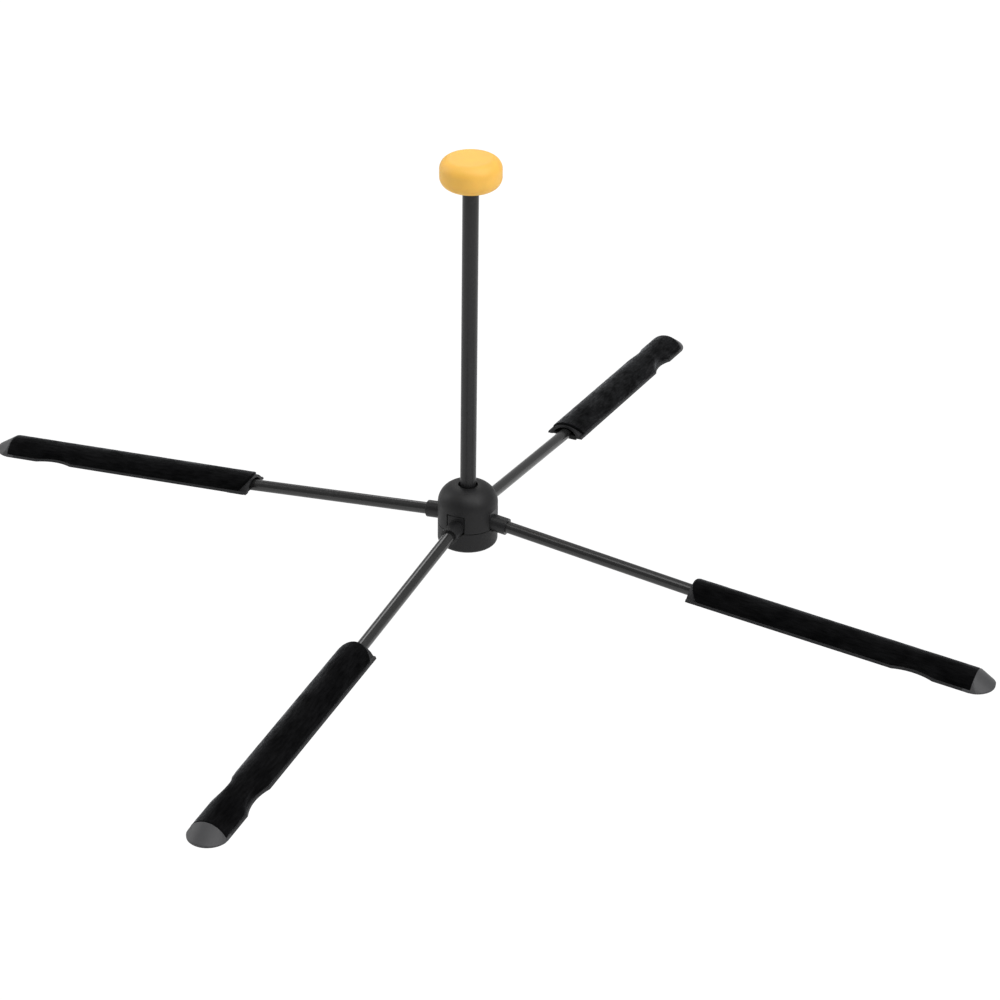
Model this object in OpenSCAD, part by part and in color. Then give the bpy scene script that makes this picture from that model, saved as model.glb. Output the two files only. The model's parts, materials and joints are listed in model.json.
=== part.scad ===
// In-bell trumpet stand: a capped post in a domed hub, with four folding legs.
// Origin: on the floor, under the post's axis.  +Z is up and leg 1 points along +X.
// Pulling the cap up spreads the legs; pushing it down lets them hang round the post.

/* [Stand] */
// Distance from the post's axis to the tip of each toe
reach = 220; // [210:1:230]
// Height of the cap's top above the floor
total_h = 174.6; // [160:0.1:190]
// Slope of each leg rod below the horizontal, in degrees
leg_slope = 6.2; // [5.6:0.1:7]
// Angle that each pad is flatter than its rod, in degrees
pad_kink = 1.4; // [1:0.1:1.6]

/* [Post and cap] */
// Diameter of the post
post_d = 6.35; // [5:0.05:6.4]
// Diameter of the soft cap
cap_d = 24; // [20:0.5:26]
// Height of the soft cap
cap_h = 11.8; // [10:0.1:14]
// Radius of the cap's rounded rims
cap_round = 4.4; // [2:0.1:4.8]

/* [Hub] */
// Diameter of the dome and of the ring under it
hub_d = 24; // [24:0.5:26]
// Distance from the post's axis to each hinge pin
pivot_r = 8; // [7.8:0.1:8.2]
// Height of the dome's top above its hinge pins
dome_up = 14.2; // [13.5:0.1:15]
// Radius of the dome's rounded shoulder
dome_round = 7.8; // [6:0.1:8]
// Width of each window in the dome
window_w = 7.7; // [7.6:0.1:7.8]
// Height of each window above its hinge pin
window_up = 5.5; // [5.3:0.1:6]
// Height of the base ring
ring_h = 8.6; // [7:0.1:8.8]
// Diameter of each hinge pin
pin_d = 2; // [1.6:0.1:2]

/* [Legs] */
// Diameter of each leg rod
rod_d = 4.76; // [4:0.02:4.8]
// Diameter of the socket that holds each rod
socket_d = 6.8; // [6.2:0.1:6.8]
// Length of the socket, from the hinge pin
socket_len = 9.4; // [8.6:0.1:11]
// How far each pad slides in along its rod
pad_travel = 56; // [40:1:56]

/* [Pads] */
// Length of each pad
pad_len = 123.6; // [120:0.1:126]
// Width of each pad over its velvet
pad_w = 15.6; // [15:0.1:16]
// Height of each pad's arch over its velvet
pad_h = 5.9; // [5.7:0.1:6.1]
// Thickness of the velvet
velvet_t = 0.9; // [0.6:0.1:1]
// Wall of the hard shell under the velvet
shell_t = 1.1; // [0.9:0.1:1.2]
// Height of the bare rim along each pad's lower edges
rim_h = 1; // [0.6:0.1:1.4]
// Depth of the scoop in each side of a pad
scoop_depth = 1.7; // [1:0.1:2]

/* [Hidden] */
$fn = 64;
EPS = 0.01;
LEGS = [1 : 4];
leg_turn = 90;
run_gap = 0.05;
body_gap = 0.3;

// Pads: the arch is part of a circle whose centre lies below the skirts' edges.
arch_r = (pow(pad_w / 2, 2) + pow(pad_h, 2)) / (2 * pad_h);
arch_drop = arch_r - pad_h;
shell_r = arch_r - velvet_t;
shell_ri = shell_r - shell_t;
chord_drop = 1;
velvet_end = pad_len - 7.6;
shell_end = velvet_end - 3;
plug_start = shell_end - 7;
pad_slope = leg_slope - pad_kink;
velvet_setback = 4;
scoop_u = pad_len - 30.6;
scoop_r = 22;
scoop_tilt = 20;
scoop_y = pad_w / 2 - scoop_depth + scoop_r / cos(scoop_tilt);
scoop_half = 12;

// Toes: a level sole and a bowed end face, both from the velvet's end to the tip
sole_start = velvet_end;
toe_inset = 0.1;
toe_r = arch_r - toe_inset;
toe_top = pad_h - toe_inset;
toe_lip = 1;
tip_top = (pad_len - sole_start) * tan(pad_slope) + toe_lip;
toe_slope = atan((toe_top - tip_top) / (pad_len - velvet_end));
toe_bow = 10;

// The pads' place along the rods follows from the reach, and the hinge height from the floor.
tip_n = pad_len * sin(pad_kink) - chord_drop;
pad_start = (reach - pivot_r - tip_n * sin(leg_slope)) / cos(leg_slope) - pad_len * cos(pad_kink);
sole_t = pad_start + sole_start * cos(pad_kink);
sole_n = sole_start * sin(pad_kink) - chord_drop;
pivot_z = sole_t * sin(leg_slope) - sole_n * cos(leg_slope);

// Rod guide and stop, inside the pad's inner end
wing_start = 0.5;
wing_t = 0.9;
guide_start = 4;
guide_len = 7.5;
guide_w = 7.2;
guide_below = 2.6;
stop_d = 5.7;
stop_len = 4;
stop_wall = 0.8;
stop_start = pad_start + guide_start + guide_len + body_gap;
rod_end = stop_start + stop_len - stop_wall;
rod_seat = 3.6;

// Rib across the shell that the rod's stop meets when the pad is slid in
rib_start = stop_start + stop_len - pad_start + pad_travel + body_gap;
rib_t = 1.2;

// Hub levels, all from the hinge pins
hub_r = hub_d / 2;
post_r = post_d / 2;
seam_z = pivot_z - 2.1;
window_z = pivot_z + window_up;
dome_top = pivot_z + dome_up;
lip_r = 3.9;
lip_z = dome_top - 2;
bush_r = 4.4;
ring_top = seam_z - body_gap;
ring_bottom = ring_top - ring_h;
ring_floor = ring_bottom + 2.6;
ring_wall = 1.8;
ring_round = 1.6;
boss_r = 4.6;
boss_top = ring_floor + 3.4;
saddle_gap = 0.2;
saddle_r = socket_d / 2 + saddle_gap;

// Knuckle: a barrel on the pin, a socket for the rod and a lug that stops under the window's top
barrel_r = socket_d / 2;
knuckle_w = window_w - 0.8;
lug_x = 3.4;
lug_z = window_up - 0.25;
lug_edge = 0.6;

// Hinge pins sit in slots that open downward, closed by a clamp in each corner of the dome
pin_r = pin_d / 2;
pin_len = 10.6;
seat_len = pin_len + 0.1;
clamp_top = pivot_z - pin_r - run_gap;
clamp_t = 1;
clamp_r = hub_r - 1.2;
corner = window_w / 2;
screw_at = 6.6;
screw_r = 0.8;
screw_head_r = 1.4;
screw_head_h = 0.5;
screw_len = 5;
screw_slot = 0.4;

// Screw from below that holds the ring on the post
ring_screw_r = 1.5;
ring_screw_head_r = 2.7;
ring_screw_head_h = 1.3;
ring_screw_key = 1.2;
ring_screw_len = 9;
washer_r = 3;
washer_t = 0.4;

// Cap and its rigid core
cap_bottom = total_h - cap_h;
core_floor = 1.6;
core_flange_r = 8.2;
core_flange_h = 2.4;
core_boss_r = 5;
core_top = 8.6;
post_top = cap_bottom + core_top - 1.4;

BLACK = "#26262a";
SATIN = "#303033";
VELVET = "#19191b";
TOE = "#47474a";
YELLOW = "#f0bf63";
STEEL = "#b9bbbe";

function numbered(name) = [for (k = LEGS) str(name, "_", k)];

// ---- Frames -------------------------------------------------------------

// Leg k's own direction, with the post's axis as the centre
module leg_side(k) {
    rotate([0, 0, leg_turn * (k - 1)])
        children();
}

// Origin on leg k's hinge pin, +X outward along its rod
module leg_frame(k) {
    leg_side(k)
        translate([pivot_r, 0, pivot_z])
            rotate([0, leg_slope, 0])
                children();
}

// Origin at the pad's inner end, midway between its skirts' edges, +X outward
module pad_frame(k) {
    leg_frame(k)
        translate([pad_start, 0, -chord_drop])
            rotate([0, -pad_kink, 0])
                children();
}

// The leg's frame as seen from the pad's frame
module leg_from_pad() {
    rotate([0, pad_kink, 0])
        translate([-pad_start, 0, chord_drop])
            children();
}

// ---- Shared shapes ------------------------------------------------------

// Round bar along X
module bar(r, from, to) {
    translate([from, 0, 0])
        rotate([0, 90, 0])
            cylinder(r = r, h = to - from);
}

// Round bar along Y, centred
module cross_bar(r, width) {
    rotate([90, 0, 0])
        cylinder(r = r, h = width, center = true);
}

// Block along X, centred on Y
module block(from, to, width, low, high) {
    translate([from, -width / 2, low])
        cube([to - from, width, high - low]);
}

// Solid half-round bar, flat side down
module arch(r, from, to) {
    intersection() {
        translate([0, 0, -arch_drop])
            bar(r, from, to);
        block(from, to, 2 * r, 0, r);
    }
}

// Cylinders, leaning in over the pad, that hollow both its sides near the toe; cut off below low
module scoops(extra, low) {
    intersection() {
        for (side = [-1, 1])
            translate([scoop_u, side * scoop_y, 0])
                rotate([side * scoop_tilt, 0, 0])
                    cylinder(r = scoop_r + extra, h = 3 * scoop_r, center = true);
        block(scoop_u - scoop_half, scoop_u + scoop_half, 2 * pad_w, low, 2 * pad_h);
    }
}

// Quarter block between two windows, out to radius r
module corner_block(r, inset, low, high) {
    intersection() {
        translate([0, 0, low])
            cylinder(r = r, h = high - low);
        translate([corner + inset, corner + inset, low])
            cube([r, r, high - low]);
    }
}

// ---- Hub ----------------------------------------------------------------

// Seat of one hinge pin: a slot open at the bottom with a round top
module pin_seat() {
    translate([pivot_r, 0, pivot_z])
        cross_bar(pin_r + run_gap, seat_len);
    block(pivot_r - pin_r - run_gap, pivot_r + pin_r + run_gap, seat_len, seam_z - EPS, pivot_z);
}

// Half section of the dome: a rectangle whose upper corner is rounded
module dome_section() {
    translate([0, seam_z])
        square([hub_r - dome_round, dome_top - seam_z]);
    translate([0, seam_z])
        square([hub_r, dome_top - dome_round - seam_z]);
    intersection() {
        translate([hub_r - dome_round, dome_top - dome_round])
            circle(r = dome_round);
        translate([0, seam_z])
            square([hub_r, hub_d]);
    }
}

module hub_dome() {
    color(BLACK)
        difference() {
            rotate_extrude()
                dome_section();
            for (turn = [0, leg_turn])
                rotate([0, 0, turn])
                    block(-hub_r - 1, hub_r + 1, window_w, seam_z - 1, window_z);
            translate([0, 0, seam_z])
                cylinder(r = bush_r, h = lip_z - seam_z);
            cylinder(r = lip_r, h = total_h);
            for (k = LEGS)
                leg_side(k) {
                    pin_seat();
                    corner_block(clamp_r, 0, seam_z - EPS, clamp_top + run_gap);
                    translate([screw_at, screw_at, clamp_top])
                        cylinder(r = screw_r, h = screw_len);
                }
        }
}

module post_bush() {
    color(SATIN)
        translate([0, 0, window_z + 0.2])
            difference() {
                cylinder(r = bush_r, h = lip_z - window_z - 0.2);
                translate([0, 0, -1])
                    cylinder(r = post_r + run_gap, h = hub_d);
            }
}

module pin_clamp(k) {
    color(SATIN)
        leg_side(k)
            difference() {
                corner_block(clamp_r, 0.05, clamp_top - clamp_t, clamp_top);
                translate([screw_at, screw_at, seam_z - 1])
                    cylinder(r = screw_r, h = hub_r);
                translate([screw_at, screw_at, seam_z - 1])
                    cylinder(r = screw_head_r, h = clamp_top - clamp_t + screw_head_h - seam_z + 1);
            }
}

module clamp_screws() {
    color(STEEL)
        for (k = LEGS)
            leg_side(k)
                translate([screw_at, screw_at, clamp_top - clamp_t])
                    difference() {
                        union() {
                            cylinder(r = screw_head_r, h = screw_head_h);
                            cylinder(r = screw_r, h = screw_len);
                        }
                        block(-hub_r, hub_r, screw_slot, -1, screw_head_h / 2);
                    }
}

module pivot_pin(k) {
    color(STEEL)
        leg_side(k)
            translate([pivot_r, 0, pivot_z])
                cross_bar(pin_r, pin_len);
}

// ---- Post, cap and base ring --------------------------------------------

module post() {
    color(BLACK)
        difference() {
            translate([0, 0, ring_floor])
                cylinder(r = post_r, h = post_top - ring_floor);
            translate([0, 0, ring_floor - 1])
                cylinder(r = ring_screw_r, h = ring_screw_len);
        }
}

// Half section of the cap: a rectangle whose outer corners are rounded
module cap_section() {
    square([cap_d / 2 - cap_round, cap_h]);
    translate([0, cap_round])
        square([cap_d / 2, cap_h - 2 * cap_round]);
    intersection() {
        for (z = [cap_round, cap_h - cap_round])
            translate([cap_d / 2 - cap_round, z])
                circle(r = cap_round);
        square([cap_d, cap_h]);
    }
}

// Half section of the core: a boss on the post with a wide flange
module core_section() {
    square([core_boss_r, core_top]);
    translate([0, core_floor])
        square([core_flange_r, core_flange_h]);
}

module cap() {
    color(YELLOW)
        translate([0, 0, cap_bottom])
            rotate_extrude()
                difference() {
                    cap_section();
                    core_section();
                }
}

module cap_core() {
    color(SATIN)
        difference() {
            translate([0, 0, cap_bottom])
                rotate_extrude()
                    core_section();
            translate([0, 0, cap_bottom - 1])
                cylinder(r = post_r, h = post_top - cap_bottom + 1);
        }
}

// Half section of the ring: a cup with a rounded foot and a boss round the post's end
module ring_section() {
    difference() {
        union() {
            translate([0, ring_bottom])
                square([hub_r - ring_round, ring_round]);
            translate([0, ring_bottom + ring_round])
                square([hub_r, ring_h - ring_round]);
            intersection() {
                translate([hub_r - ring_round, ring_bottom + ring_round])
                    circle(r = ring_round);
                translate([0, ring_bottom])
                    square([hub_r, ring_round]);
            }
        }
        translate([boss_r, ring_floor])
            square([hub_r - ring_wall - boss_r, ring_h]);
        translate([0, boss_top])
            square([hub_r - ring_wall, ring_h]);
    }
}

module base_ring() {
    head_room = washer_t + ring_screw_head_h;
    color(BLACK)
        difference() {
            rotate_extrude()
                ring_section();
            translate([0, 0, ring_floor])
                cylinder(r = post_r, h = ring_h);
            cylinder(r = ring_screw_r, h = ring_top);
            translate([0, 0, ring_bottom - 1])
                cylinder(r = washer_r, h = head_room + 1);
            for (k = LEGS)
                leg_frame(k) {
                    bar(saddle_r, 0, socket_len);
                    cross_bar(saddle_r, knuckle_w + 2 * saddle_gap);
                }
        }
}

module ring_screw() {
    color(STEEL)
        translate([0, 0, ring_bottom])
            difference() {
                union() {
                    cylinder(r = ring_screw_head_r, h = ring_screw_head_h);
                    cylinder(r = ring_screw_r, h = ring_screw_len);
                }
                translate([0, 0, -1])
                    cylinder(r = ring_screw_key, h = 1 + ring_screw_head_h / 2, $fn = 6);
            }
}

module ring_washer() {
    color(STEEL)
        translate([0, 0, ring_bottom + ring_screw_head_h])
            difference() {
                cylinder(r = washer_r, h = washer_t);
                translate([0, 0, -1])
                    cylinder(r = ring_screw_r, h = washer_t + 2);
            }
}

// ---- Legs ---------------------------------------------------------------

module knuckle(k) {
    color(SATIN)
        leg_frame(k)
            difference() {
                union() {
                    cross_bar(barrel_r, knuckle_w);
                    bar(socket_d / 2, 0, socket_len);
                    rotate([0, -leg_slope, 0]) {
                        block(0, lug_x - lug_edge, knuckle_w, 0, lug_z);
                        block(0, lug_x, knuckle_w, 0, lug_z - lug_edge);
                        translate([lug_x - lug_edge, 0, lug_z - lug_edge])
                            cross_bar(lug_edge, knuckle_w);
                    }
                }
                cross_bar(pin_r + run_gap, window_w);
                bar(rod_d / 2, rod_seat, socket_len + 1);
            }
}

module leg_rod(k) {
    color(BLACK)
        leg_frame(k)
            bar(rod_d / 2, rod_seat, rod_end);
}

module rod_stop(k) {
    color(SATIN)
        leg_frame(k)
            difference() {
                bar(stop_d / 2, stop_start, stop_start + stop_len);
                bar(rod_d / 2, stop_start - 1, rod_end);
            }
}

// ---- Pads ---------------------------------------------------------------

// Bare rim along a pad's lower edges, flush with its velvet
module bare_rim(from, to) {
    intersection() {
        arch(arch_r, from, to);
        block(from, to, pad_w + 2, 0, rim_h);
    }
}

// A channel with a rib across it, whose wall follows the scoops
module pad_shell(k) {
    color(TOE)
        pad_frame(k)
            difference() {
                union() {
                    difference() {
                        union() {
                            arch(shell_r, 0, shell_end);
                            bare_rim(0, shell_end);
                        }
                        translate([0, 0, -arch_drop]) {
                            bar(shell_ri, -1, rib_start);
                            bar(shell_ri, rib_start + rib_t, shell_end + 1);
                        }
                    }
                    intersection() {
                        arch(shell_r, scoop_u - scoop_half, scoop_u + scoop_half);
                        scoops(velvet_t + shell_t, 0);
                    }
                }
                scoops(0, -EPS);
                scoops(velvet_t, rim_h);
            }
}

// Covers the arch and the scoops' walls down to the rim, cut back in a slant at its inner end
module pad_velvet(k) {
    color(VELVET)
        pad_frame(k)
            difference() {
                arch(arch_r, 0, velvet_end);
                difference() {
                    translate([0, 0, -arch_drop])
                        bar(shell_r, -1, velvet_end + 1);
                    scoops(velvet_t, 0);
                }
                block(-1, pad_len, pad_w + 2, -1, rim_h);
                scoops(0, 0);
                rotate([90, 0, 0])
                    linear_extrude(height = pad_w + 2, center = true)
                        polygon([[-1, 0], [velvet_setback, rim_h], [0, pad_h], [-1, pad_h]]);
            }
}

// Outline of the toe from above: straight sides and a round nose
module toe_plan() {
    nose_r = pad_w / 2;
    translate([pad_len - nose_r, 0])
        circle(r = nose_r);
    translate([plug_start, -nose_r])
        square([pad_len - nose_r - plug_start, pad_w]);
}

// Wide bar that slopes down to the tip; its top is the toe's end face
module toe_face() {
    translate([velvet_end, 0, toe_top])
        rotate([0, toe_slope, 0])
            translate([0, 0, -toe_bow])
                bar(toe_bow, -pad_h, pad_len - plug_start);
}

// A plug in the shell's end and a round-nosed tip, cut level where it stands on the floor
module pad_toe(k) {
    color(TOE)
        pad_frame(k)
            difference() {
                intersection() {
                    union() {
                        arch(shell_ri, plug_start, shell_end);
                        arch(shell_r, shell_end, velvet_end);
                        bare_rim(shell_end, velvet_end);
                        intersection() {
                            arch(toe_r, velvet_end, pad_len);
                            toe_face();
                        }
                    }
                    linear_extrude(height = pad_h)
                        toe_plan();
                }
                translate([sole_start, 0, 0])
                    rotate([0, -pad_slope, 0])
                        block(0, pad_len, pad_w + 2, -pad_h, 0);
            }
}

// A bearing on the rod, with a thin wing on each side that closes the pad's inner end
module rod_guide(k) {
    color(SATIN)
        pad_frame(k)
            difference() {
                union() {
                    arch(shell_ri, guide_start, guide_start + guide_len);
                    block(guide_start, guide_start + guide_len, guide_w, -guide_below, EPS);
                    intersection() {
                        arch(shell_ri, wing_start, guide_start + EPS);
                        block(wing_start, guide_start + EPS, pad_w, 0, wing_t);
                    }
                }
                leg_from_pad()
                    bar(rod_d / 2 + run_gap, pad_start, pad_start + pad_len);
            }
}

// ---- Build --------------------------------------------------------------

hub_dome();
post_bush();
clamp_screws();
post();
cap();
cap_core();
base_ring();
ring_screw();
ring_washer();
for (k = LEGS) {
    pin_clamp(k);
    pivot_pin(k);
    knuckle(k);
    leg_rod(k);
    rod_stop(k);
    pad_shell(k);
    pad_velvet(k);
    pad_toe(k);
    rod_guide(k);
}
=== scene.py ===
"""Looks of the folding in-bell trumpet stand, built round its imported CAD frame."""

import json
import math

import bpy
from mathutils import Matrix, Vector, noise


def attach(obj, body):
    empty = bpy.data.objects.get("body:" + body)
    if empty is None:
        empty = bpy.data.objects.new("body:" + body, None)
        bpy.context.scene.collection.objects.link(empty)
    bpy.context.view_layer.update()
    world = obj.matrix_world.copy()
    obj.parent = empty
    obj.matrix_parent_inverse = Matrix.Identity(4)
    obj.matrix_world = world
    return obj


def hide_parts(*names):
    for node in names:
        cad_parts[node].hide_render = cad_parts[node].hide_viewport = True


MM = 0.001
LEGS = (1, 2, 3, 4)

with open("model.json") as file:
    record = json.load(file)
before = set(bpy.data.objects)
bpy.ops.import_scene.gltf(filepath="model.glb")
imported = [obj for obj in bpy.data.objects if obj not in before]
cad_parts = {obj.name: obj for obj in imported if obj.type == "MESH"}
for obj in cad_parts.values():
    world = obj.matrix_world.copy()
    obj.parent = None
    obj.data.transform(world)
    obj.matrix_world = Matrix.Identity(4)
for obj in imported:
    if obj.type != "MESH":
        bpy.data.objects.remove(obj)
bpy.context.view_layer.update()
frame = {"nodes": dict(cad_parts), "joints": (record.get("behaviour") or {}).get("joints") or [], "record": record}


# ---- Camera -----------------------------------------------------------------

CAMERA_PLACE = (0.4664, -1.0023, 0.6468)
CAMERA_LOOKS_AT = (-0.0086, 0.0501, 0.0)
CAMERA_LENS = 114.6
CAMERA_ROLL = math.radians(0.85)


def make_camera():
    """The camera, at its set place and roll."""
    camera = bpy.data.objects.new("camera", bpy.data.cameras.new("camera"))
    bpy.context.scene.collection.objects.link(camera)
    camera.data.lens = CAMERA_LENS
    camera.data.sensor_width = 36
    place = Vector(CAMERA_PLACE)
    away = (Vector(CAMERA_LOOKS_AT) - place).normalized()
    turn = away.to_track_quat("-Z", "Y").to_matrix().to_4x4()
    camera.matrix_world = Matrix.Translation(place) @ turn @ Matrix.Rotation(CAMERA_ROLL, 4, "Z")
    bpy.context.scene.camera = camera


make_camera()


# ---- Shader nodes -----------------------------------------------------------

def add(tree, kind, inputs=None, **settings):
    """A new shader node. An input given a socket is linked, and any other value is set on it."""
    node = tree.nodes.new("ShaderNode" + kind)
    for name, value in settings.items():
        setattr(node, name, value)
    for key, value in (inputs or {}).items():
        if isinstance(value, bpy.types.NodeSocket):
            tree.links.new(value, node.inputs[key])
        else:
            node.inputs[key].default_value = value
    return node


def ramp(tree, source, stops):
    """A colour ramp over source, with stops as (position, (red, green, blue))."""
    node = add(tree, "ValToRGB", {"Fac": source})
    elements = node.color_ramp.elements
    while len(elements) < len(stops):
        elements.new(0.5)
    for element, (position, colour) in zip(elements, stops):
        element.position = position
        element.color = (*colour, 1)
    return node.outputs["Color"]


def spread(tree, source, low, high):
    """Source, which runs from 0 to 1, moved to run from low to high."""
    node = add(tree, "MapRange", {"Value": source, "To Min": low, "To Max": high})
    return node.outputs["Result"]


def grain(tree, place, size, detail=2.0, stretch=(1, 1, 1)):
    """Noise from 0 to 1 whose features are about size metres across, drawn out by stretch."""
    scale = [1 / (size * s) for s in stretch]
    moved = add(tree, "Mapping", {"Vector": place, "Scale": scale})
    made = add(tree, "TexNoise", {"Vector": moved.outputs["Vector"], "Scale": 1.0, "Detail": detail})
    return made.outputs["Fac"]


def blended(tree, share, base, colour):
    """The base socket's colour, mixed toward colour where share nears 1."""
    mix = add(tree, "Mix", data_type="RGBA")
    factor, _, _, _, _, _, first, second, *_ = mix.inputs
    tree.links.new(share, factor)
    tree.links.new(base, first)
    second.default_value = (*colour, 1)
    return mix.outputs[2]


def shade(colour, amount):
    """Colour with each channel multiplied by amount."""
    return tuple(min(1.0, c * amount) for c in colour)


def new_finish(name, **sockets):
    """A Principled material with these values on its own sockets, and the piece's own place in it."""
    material = bpy.data.materials.new(name)
    material.use_nodes = True
    tree = material.node_tree
    shader = tree.nodes["Principled BSDF"]
    for socket, value in sockets.items():
        shader.inputs[socket.replace("_", " ")].default_value = value
    return material, tree, shader, add(tree, "TexCoord")


# ---- Floor and light --------------------------------------------------------

SET_SIZE = 30
FLOOR_GAP = 0.2 * MM
FLOOR_TONE = 0.5
FLOOR_GLOW = 0.4
BACKDROP_DROP = 0.4
BACKDROP_GLOW = 1.05
WORLD_FRONT = 0.3
WORLD_BACK = 0.6


def make_plane(name, height, tone, glow):
    """A wide, plain white plane of the set, with some light of its own."""
    bpy.ops.mesh.primitive_plane_add(size=SET_SIZE, location=(0, 0, height))
    plane = bpy.context.object
    plane.name = name
    paint = bpy.data.materials.new(name)
    paint.use_nodes = True
    sockets = paint.node_tree.nodes["Principled BSDF"].inputs
    sockets["Base Color"].default_value = (tone, tone, tone, 1)
    sockets["Roughness"].default_value = 0.9
    sockets["Specular IOR Level"].default_value = 0.0
    sockets["Emission Color"].default_value = (1, 1, 1, 1)
    sockets["Emission Strength"].default_value = glow
    plane.data.materials.append(paint)
    return plane


def make_floor():
    """An unseen floor that lights the stand, as folded legs hang below it, and a backdrop that is seen."""
    floor = make_plane("floor", -FLOOR_GAP, FLOOR_TONE, FLOOR_GLOW)
    floor.visible_camera = False
    floor.visible_shadow = False
    make_plane("backdrop", -BACKDROP_DROP, 0.0, BACKDROP_GLOW)


def make_lamp(name, place, looks_at, size, watts):
    """A rectangular area lamp at place, turned toward looks_at."""
    lamp = bpy.data.objects.new(name, bpy.data.lights.new(name, "AREA"))
    bpy.context.scene.collection.objects.link(lamp)
    lamp.data.shape = "RECTANGLE"
    lamp.data.size, lamp.data.size_y = size
    lamp.data.energy = watts
    lamp.location = place
    lamp.rotation_euler = (Vector(looks_at) - Vector(place)).to_track_quat("-Z", "Y").to_euler()


def make_world(front, back):
    """A white tent round the stand, dimmer at the front (-Y) than at the back."""
    world = bpy.data.worlds.new("studio")
    bpy.context.scene.world = world
    world.use_nodes = True
    tree = world.node_tree
    way = add(tree, "SeparateXYZ", {"Vector": add(tree, "TexCoord").outputs["Generated"]})
    toward = add(tree, "MapRange", {"Value": way.outputs["Y"], "From Min": -0.9, "From Max": 0.3})
    background = tree.nodes["Background"].inputs
    tree.links.new(spread(tree, toward.outputs["Result"], front, back), background["Strength"])
    background["Color"].default_value = (1, 1, 1, 1)


make_floor()
make_world(WORLD_FRONT, WORLD_BACK)
make_lamp("key", (1.0, -0.3, 0.95), (0, 0, 0), (0.5, 0.5), 5.6)
make_lamp("overhead", (0.35, -0.15, 1.2), (0, 0, 0), (1.3, 0.9), 11)
make_lamp("back", (-0.52, 0.8, 0.9), (0, 0, 0), (0.35, 0.5), 2)
make_lamp("left", (-1.1, -0.1, 0.6), (0, 0, 0.08), (0.5, 0.9), 4.6)
bpy.context.scene.view_settings.view_transform = "Standard"


# ---- Hard finishes ----------------------------------------------------------

def moulded(name, colour, roughness, grain_size, relief, edge=0.2 * MM, wear_and_glint=1.6, **sockets):
    """Moulded surface: fine grain, a faint cloud of tone, and softened edges painted a little lighter, partly as
    scuffing and partly as a painted edge highlight.
    """
    material, tree, shader, place = new_finish(name, **sockets)
    here = place.outputs["Object"]
    cloud = grain(tree, here, 9 * MM, 3.0)
    fine = grain(tree, here, grain_size, 2.0)
    smudge = grain(tree, here, 2.2 * MM, 4.0)
    tone = ramp(tree, cloud, [(0.3, shade(colour, 0.86)), (0.72, shade(colour, 1.14))])
    soft = add(tree, "Bevel", {"Radius": edge}, samples=4).outputs["Normal"]
    true = add(tree, "NewGeometry").outputs["Normal"]
    bend = add(tree, "VectorMath", {0: soft, 1: true}, operation="DOT_PRODUCT").outputs["Value"]
    edges = add(tree, "MapRange", {"Value": bend, "From Min": 0.995, "From Max": 0.8}).outputs["Result"]
    # Edges painted lighter in patches, partly as scuffing and partly as a painted highlight standing in for edge
    # glints.
    worn_and_glinting = add(tree, "Math", {0: edges, 1: smudge}, operation="MULTIPLY").outputs["Value"]
    paler = blended(tree, worn_and_glinting, tone, shade(colour, wear_and_glint))
    tree.links.new(paler, shader.inputs["Base Color"])
    tree.links.new(spread(tree, smudge, roughness - 0.07, roughness + 0.07), shader.inputs["Roughness"])
    bump = add(tree, "Bump", {"Height": fine, "Normal": soft, "Distance": relief, "Strength": 1.0})
    tree.links.new(bump.outputs["Normal"], shader.inputs["Normal"])
    return material


def drawn_rod(name, colour, roughness, **sockets):
    """Black coated round stock: fine orange peel, long soft streaks and a few paler rubbed marks."""
    material, tree, shader, place = new_finish(name, **sockets)
    here = place.outputs["Object"]
    streak = grain(tree, here, 1.2 * MM, 3.0)
    peel = grain(tree, here, 0.35 * MM, 2.0)
    rubbed = ramp(tree, grain(tree, here, 3.5 * MM, 5.0), [(0.62, (0, 0, 0)), (0.75, (1, 1, 1))])
    tone = ramp(tree, streak, [(0.3, shade(colour, 0.85)), (0.7, shade(colour, 1.15))])
    marks = blended(tree, rubbed, tone, shade(colour, 1.5))
    tree.links.new(marks, shader.inputs["Base Color"])
    tree.links.new(spread(tree, streak, roughness - 0.06, roughness + 0.06), shader.inputs["Roughness"])
    bump = add(tree, "Bump", {"Height": peel, "Distance": 0.006 * MM, "Strength": 1.0})
    tree.links.new(bump.outputs["Normal"], shader.inputs["Normal"])
    return material


def soft_rubber(name, colour):
    """Smooth moulded rubber with a faint bloom, tiny pits and a slight glow under its skin."""
    material, tree, shader, place = new_finish(name, Subsurface_Weight=0.12, Subsurface_Scale=1.5 * MM)
    here = place.outputs["Object"]
    cloud = grain(tree, here, 6 * MM, 4.0)
    skin = grain(tree, here, 0.25 * MM, 3.0)
    pits = add(tree, "TexVoronoi", {"Vector": here, "Scale": 1 / (0.9 * MM)}).outputs["Distance"]
    pit = add(tree, "MapRange", {"Value": pits, "From Min": 0.04, "From Max": 0.12}).outputs["Result"]
    tone = ramp(tree, cloud, [(0.3, shade(colour, 0.95)), (0.7, shade(colour, 1.05))])
    tree.links.new(tone, shader.inputs["Base Color"])
    tree.links.new(spread(tree, cloud, 0.46, 0.6), shader.inputs["Roughness"])
    first = add(tree, "Bump", {"Height": skin, "Distance": 0.012 * MM, "Strength": 1.0})
    under = first.outputs["Normal"]
    second = add(tree, "Bump", {"Height": pit, "Distance": 0.02 * MM, "Strength": 0.6, "Normal": under})
    tree.links.new(second.outputs["Normal"], shader.inputs["Normal"])
    return material


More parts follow.
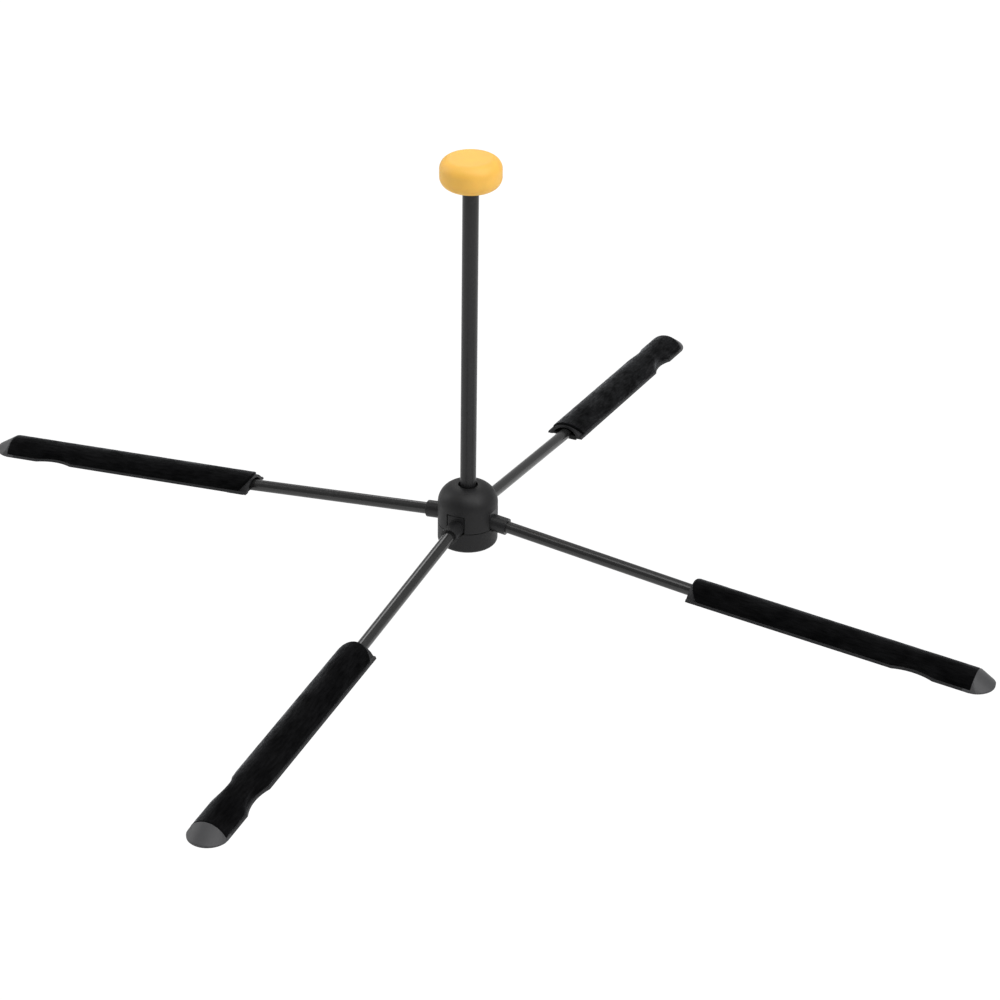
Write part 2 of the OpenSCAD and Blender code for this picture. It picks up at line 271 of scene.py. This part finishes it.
def plated_steel(name, colour):
    """Plated steel with turned rings about an upright axis and fine scratches."""
    material, tree, shader, place = new_finish(name, Metallic=1.0)
    here = place.outputs["Object"]
    turned = grain(tree, here, 0.12 * MM, 2.0, stretch=(1, 1, 20))
    patch = grain(tree, here, 1.6 * MM, 3.0)
    tone = ramp(tree, patch, [(0.3, shade(colour, 0.8)), (0.7, shade(colour, 1.1))])
    soft = add(tree, "Bevel", {"Radius": 0.12 * MM}, samples=4).outputs["Normal"]
    tree.links.new(tone, shader.inputs["Base Color"])
    tree.links.new(spread(tree, turned, 0.24, 0.42), shader.inputs["Roughness"])
    bump = add(tree, "Bump", {"Height": turned, "Distance": 0.006 * MM, "Strength": 0.7, "Normal": soft})
    tree.links.new(bump.outputs["Normal"], shader.inputs["Normal"])
    return material


MATERIALS = {
    "hub_black": moulded(
        "hub_black", (0.0045, 0.0045, 0.005), 0.52, 0.22 * MM, 0.012 * MM, Specular_IOR_Level=0.28),
    "knuckle_black": moulded(
        "knuckle_black", (0.008, 0.008, 0.0085), 0.38, 0.2 * MM, 0.01 * MM, Specular_IOR_Level=0.3),
    "core_black": moulded(
        "core_black", (0.006, 0.006, 0.006), 0.6, 0.3 * MM, 0.02 * MM, Specular_IOR_Level=0.2),
    "shell_black": moulded(
        "shell_black", (0.012, 0.012, 0.013), 0.5, 0.2 * MM, 0.01 * MM, Specular_IOR_Level=0.25),
    "toe_grey": moulded(
        "toe_grey", (0.044, 0.044, 0.046), 0.5, 0.18 * MM, 0.01 * MM,
        edge=0.3 * MM, wear_and_glint=1.4, Specular_IOR_Level=0.3),
    "post_black": drawn_rod("post_black", (0.009, 0.009, 0.0095), 0.30, Specular_IOR_Level=0.3),
    "rod_black": drawn_rod("rod_black", (0.009, 0.009, 0.009), 0.22, Specular_IOR_Level=0.5),
    "cap_yellow": soft_rubber("cap_yellow", (0.70, 0.39, 0.055)),
    "steel": plated_steel("steel", (0.56, 0.57, 0.58)),
}


# ---- Velvet -----------------------------------------------------------------

# Lengths in millimetres, in the pad's own frame: along from its inner end, across, and up.
PAD_START = 89.4648
PAD_KINK = math.radians(1.4)
CHORD_DROP = 1.0
VELVET_END = 116.0
VELVET_SETBACK = 4.0
VELVET_THICK = 0.9
PAD_W = 15.6
PAD_H = 5.9
RIM_H = 1.0
ARCH_R = ((PAD_W / 2) ** 2 + PAD_H ** 2) / (2 * PAD_H)
ARCH_DROP = ARCH_R - PAD_H
SCOOP_U = 93.0
SCOOP_R = 22.0
SCOOP_TILT = math.radians(20)
SCOOP_Y = PAD_W / 2 - 1.7 + SCOOP_R / math.cos(SCOOP_TILT)
EDGE_ROUND = 0.55
FOLD = 0.8
STEP = 0.42
SLANT_POWER = 8
NAP = 0.04
NAP_COARSE = 4
NAP_FINE = 0.9


def velvet(name):
    """Black short-pile velvet: near-black down in the pile, a soft sheen, brushed streaks and fibre ends."""
    material, tree, shader, place = new_finish(name, Specular_IOR_Level=0.02, Sheen_Roughness=0.32)
    shader.inputs["Sheen Tint"].default_value = (0.8, 0.82, 0.86, 1)
    along = place.outputs["UV"]
    brushed = grain(tree, along, 0.9 * MM, 4.0, stretch=(5, 1, 1))
    patch = grain(tree, along, 7 * MM, 3.0, stretch=(2, 1, 1))
    fibre = grain(tree, along, 0.13 * MM, 3.0)
    tone = add(tree, "Math", {0: brushed, 1: patch}, operation="MULTIPLY").outputs["Value"]
    colour = ramp(tree, tone, [(0.12, (0.0006, 0.0006, 0.0007)), (0.42, (0.0036, 0.0036, 0.0039))])
    tree.links.new(colour, shader.inputs["Base Color"])
    tree.links.new(spread(tree, brushed, 0.8, 1.0), shader.inputs["Roughness"])
    span = {"From Min": 0.12, "From Max": 0.42, "To Min": 0.08, "To Max": 0.6}
    sheen = add(tree, "MapRange", {"Value": tone, **span})
    tree.links.new(sheen.outputs["Result"], shader.inputs["Sheen Weight"])
    first = add(tree, "Bump", {"Height": brushed, "Distance": 0.1 * MM, "Strength": 0.8})
    under = first.outputs["Normal"]
    second = add(tree, "Bump", {"Height": fibre, "Distance": 0.05 * MM, "Strength": 1.0, "Normal": under})
    tree.links.new(second.outputs["Normal"], shader.inputs["Normal"])
    return material


MATERIALS["velvet"] = velvet("velvet")


def scoop_limit(along, rise):
    """How far from its middle the pad may reach there, where a leaning scoop hollows its side."""
    share = 1 - ((along - SCOOP_U) / SCOOP_R) ** 2
    if share <= 0:
        return PAD_W
    return SCOOP_Y - rise * math.tan(SCOOP_TILT) - SCOOP_R * math.sqrt(share) / math.cos(SCOOP_TILT)


def lesser(a, b, blend):
    """The smaller of a and b, rounded over within blend of where they meet."""
    near = max(0.0, blend - abs(a - b))
    return min(a, b) - near * near / (4 * blend)


def close_set(length):
    """Places from 0 to length in even steps, closer together at both ends."""
    ends = [EDGE_ROUND * f for f in (0, 0.08, 0.3, 0.62, 1)]
    count = round((length - 2 * EDGE_ROUND) / STEP)
    middle = [EDGE_ROUND + (length - 2 * EDGE_ROUND) * i / count for i in range(1, count)]
    return ends + middle + [length - e for e in reversed(ends)]


def pile_height(distance):
    """Height of the pile at a distance from the cloth's edge, which is rolled over to the shell."""
    inside = min(1.0, max(0.0, distance / EDGE_ROUND))
    return VELVET_THICK * math.sqrt(1 - (1 - inside) ** 2)


def pad_matrix(leg):
    """The pad's own frame in the row frame: +X outward along the pad from its inner end."""
    hinge = next(j for j in frame["joints"] if j["name"] == f"leg_{leg}_fold")["pos_m"]
    slope = math.asin(-next(j for j in frame["joints"] if j["name"] == f"pad_{leg}_slide")["axis"][2])
    turn = Matrix.Rotation(math.radians(90 * (leg - 1)), 4, "Z") @ Matrix.Rotation(slope, 4, "Y")
    pad = Matrix.Translation((PAD_START * MM, 0, -CHORD_DROP * MM)) @ Matrix.Rotation(-PAD_KINK, 4, "Y")
    return Matrix.Translation(hinge) @ turn @ pad


def velvet_points(leg):
    """Rows of points over the arch and down into the scoops, each with its place on the flat cloth."""
    reach = math.acos((RIM_H + ARCH_DROP) / ARCH_R)
    rows = []
    for along in close_set(VELVET_END):
        row = []
        for flat in close_set(2 * ARCH_R * reach):
            angle = flat / ARCH_R - reach
            rise = ARCH_R * math.cos(angle) - ARCH_DROP
            setback = VELVET_SETBACK * (PAD_H - rise) / (PAD_H - RIM_H)
            place = along + setback * (1 - along / VELVET_END) ** SLANT_POWER
            side = ARCH_R * (reach - abs(angle))
            height = pile_height(min(side, place - setback, VELVET_END - place))
            spot = Vector((place, flat, 10 * leg))
            nap = NAP * noise.noise(spot / NAP_COARSE) + NAP * noise.noise(spot / NAP_FINE)
            radius = ARCH_R - VELVET_THICK + height * (1 + nap)
            low = VELVET_THICK - height * (1 + nap)
            across = lesser(radius * math.sin(abs(angle)), scoop_limit(place, rise) - low, FOLD)
            up = radius * math.cos(angle) - ARCH_DROP
            point = Vector((place, -math.copysign(across, angle), up))
            row.append((point * MM, (place * MM, flat * MM)))
        rows.append(row)
    return rows


def make_velvet(leg):
    """The leg's velvet cover, a mesh laid over its pad's shell in place of the CAD velvet."""
    rows = velvet_points(leg)
    width = len(rows[0])
    flat = [entry for row in rows for entry in row]
    faces = [
        (i * width + j, (i + 1) * width + j, (i + 1) * width + j + 1, i * width + j + 1)
        for i in range(len(rows) - 1)
        for j in range(width - 1)
    ]
    mesh = bpy.data.meshes.new(f"velvet_cover_{leg}")
    mesh.from_pydata([point for point, _ in flat], [], faces)
    layer = mesh.uv_layers.new(name="cloth")
    for loop in mesh.loops:
        layer.data[loop.index].uv = flat[loop.vertex_index][1]
    for face in mesh.polygons:
        face.use_smooth = True
    mesh.transform(pad_matrix(leg))
    cover = bpy.data.objects.new(f"velvet_cover_{leg}", mesh)
    bpy.context.scene.collection.objects.link(cover)
    cover.data.materials.append(MATERIALS["velvet"])
    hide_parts(f"pad_velvet_{leg}")
    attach(cover, f"pad_{leg}")


for leg in LEGS:
    make_velvet(leg)


# ---- Finishes on the CAD nodes ----------------------------------------------

for part in frame["record"]["subparts"]:
    piece = frame["nodes"][part["node"]]
    piece.data.materials.clear()
    piece.data.materials.append(MATERIALS[part["material_slot"]])
